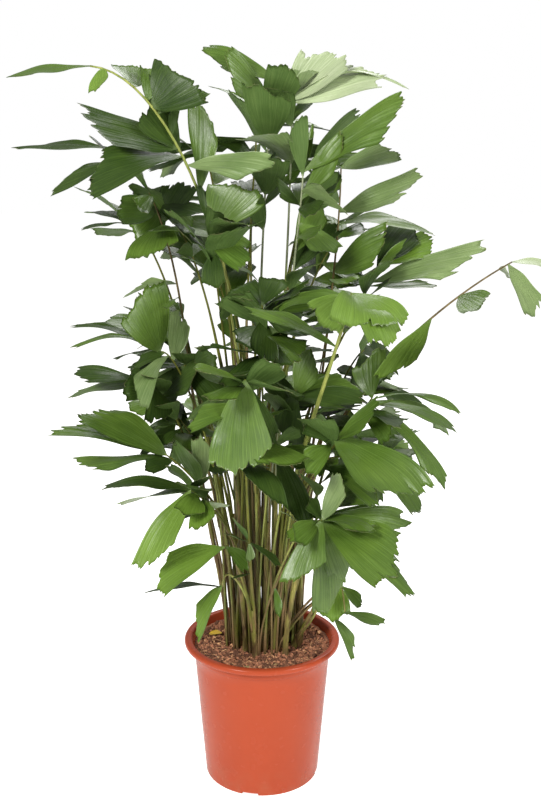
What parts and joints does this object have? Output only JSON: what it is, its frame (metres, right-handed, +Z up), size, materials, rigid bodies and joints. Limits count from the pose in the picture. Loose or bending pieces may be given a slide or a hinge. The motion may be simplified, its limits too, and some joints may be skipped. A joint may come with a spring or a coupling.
{
  "type": "potted clustering fishtail palm",
  "caption": "Clump-forming palm with slender upright canes, arching fronds of ragged wedge-shaped leaflets, growing in a round tapered plastic nursery pot with a rolled rim.",
  "frame": {"origin": "Middle of the flat pad under the pot, on the plane that the pot stands on.", "axes": "+Z is up along the pot's axis. The plant's front, as pictured, faces -Y, and +X is to its right."},
  "size_m": [0.8786, 0.6928, 1.2456],
  "materials": {
    "pot": "satin moulded terracotta-coloured plastic",
    "soil": "damp crumbly coco-fibre compost",
    "cane": "olive stems with brown fibrous sheaths",
    "frond": "glossy deep green finely ribbed leaflets on yellow-green stalks"
  },
  "bodies": {
    "root": {"pot": "pot", "soil": "soil", "cane_1": "cane", "cane_2": "cane", "cane_3": "cane", "cane_4": "cane", "cane_5": "cane", "cane_6": "cane", "cane_7": "cane", "cane_8": "cane", "cane_9": "cane", "cane_10": "cane", "cane_11": "cane", "cane_12": "cane", "cane_13": "cane", "cane_14": "cane", "cane_15": "cane", "cane_16": "cane", "cane_17": "cane", "cane_18": "cane", "frond_left_tall": "frond", "frond_left_second": "frond", "frond_left_third": "frond", "frond_top_middle": "frond", "frond_top_pale": "frond", "frond_top_right": "frond", "frond_right_upright": "frond", "frond_right_pale": "frond", "frond_right_far": "frond", "frond_right_middle": "frond", "frond_front_arching": "frond", "frond_front_middle": "frond", "frond_front_right": "frond", "frond_front_low_right": "frond", "frond_low_right": "frond", "frond_rim_right": "frond", "frond_front_hanging": "frond", "frond_left_middle": "frond", "frond_left_under": "frond", "frond_left_bright": "frond", "frond_left_low": "frond", "frond_low_left": "frond", "frond_rim_left": "frond", "frond_inner_left": "frond", "frond_inner_front": "frond", "frond_inner_middle": "frond", "frond_inner_low": "frond", "frond_inner_right": "frond", "frond_inner_flank": "frond", "frond_back_1": "frond", "frond_back_2": "frond", "frond_back_3": "frond", "frond_back_4": "frond", "frond_back_5": "frond", "frond_back_6": "frond", "frond_back_7": "frond", "frond_back_8": "frond", "frond_back_9": "frond", "frond_back_10": "frond", "frond_back_11": "frond"}
  },
  "joints": []
}
